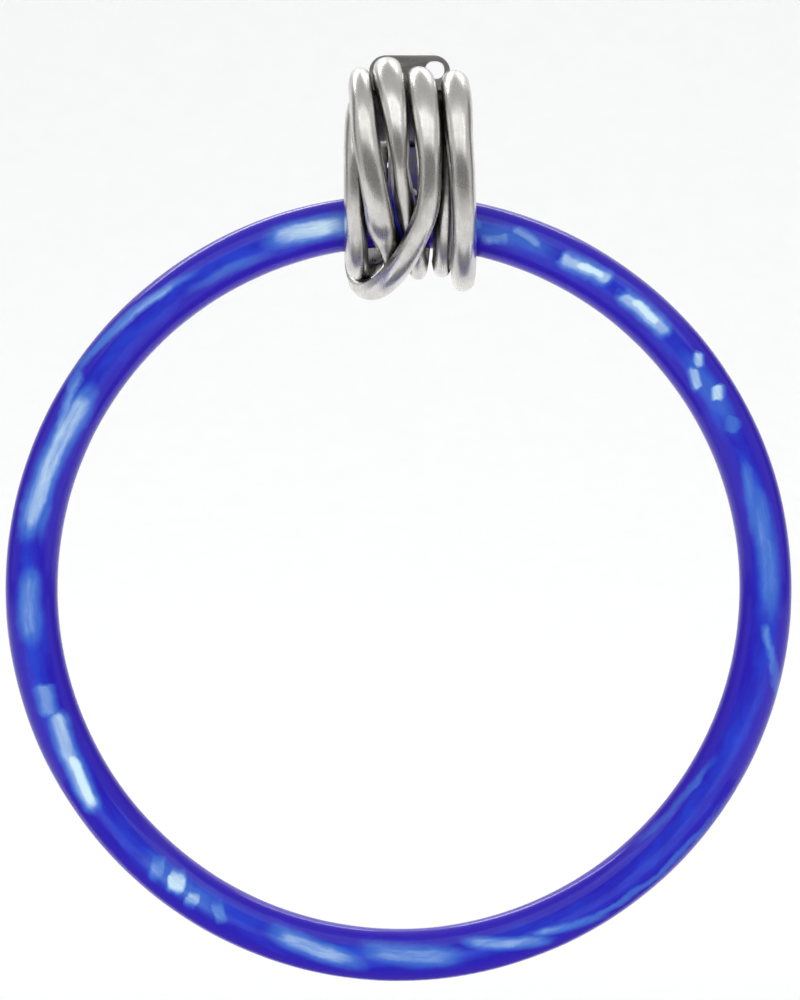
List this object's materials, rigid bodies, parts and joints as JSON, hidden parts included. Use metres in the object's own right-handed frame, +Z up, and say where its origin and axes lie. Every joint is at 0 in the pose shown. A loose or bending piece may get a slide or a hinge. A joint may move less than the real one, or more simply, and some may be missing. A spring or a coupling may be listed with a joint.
{
  "type": "clip-on hoop earring",
  "caption": "Large round resin hoop hanging through a cuff of crossing half-round metal bands, with a hinged paddle clip at the back for the ear lobe.",
  "frame": {"origin": "middle of the lobe rest's flat rear face, which lies on the front of the ear lobe", "axes": "+X to the viewer's right from the front, +Y from the front of the earring towards the wearer, +Z up; the hoop hangs in the XZ plane"},
  "size_m": [0.06, 0.0137, 0.0708],
  "materials": {
    "resin": "polished, translucent, marbled pearl blue",
    "satin_silver": "satin plated",
    "spring_steel": "rolled, plated"
  },
  "bodies": {
    "cuff": {"left_band": "satin_silver", "tall_band": "satin_silver", "sweeping_band": "satin_silver", "right_band": "satin_silver", "inner_left_band": "satin_silver", "inner_right_band": "satin_silver", "lobe_rest": "satin_silver", "clip_base": "satin_silver", "leaf_spring": "spring_steel", "spring_rivet": "spring_steel", "hinge_pin": "spring_steel"},
    "hoop": {"hoop": "resin"},
    "clip": {"paddle": "satin_silver"}
  },
  "joints": [
    {"name": "hoop_swing", "type": "hinge", "parent": "cuff", "child": "hoop", "pos_m": [-0.00085, 0, -0.008], "axis": [1, 0, 0], "range_deg": [-90, 90]},
    {"name": "clip_hinge", "type": "hinge", "parent": "cuff", "child": "clip", "pos_m": [0, 0.00495, -0.00261], "axis": [-1, 0, 0], "range_deg": [0, 85], "stiffness_Nm_per_rad": 0.002, "springref_deg": -28.65}
  ]
}
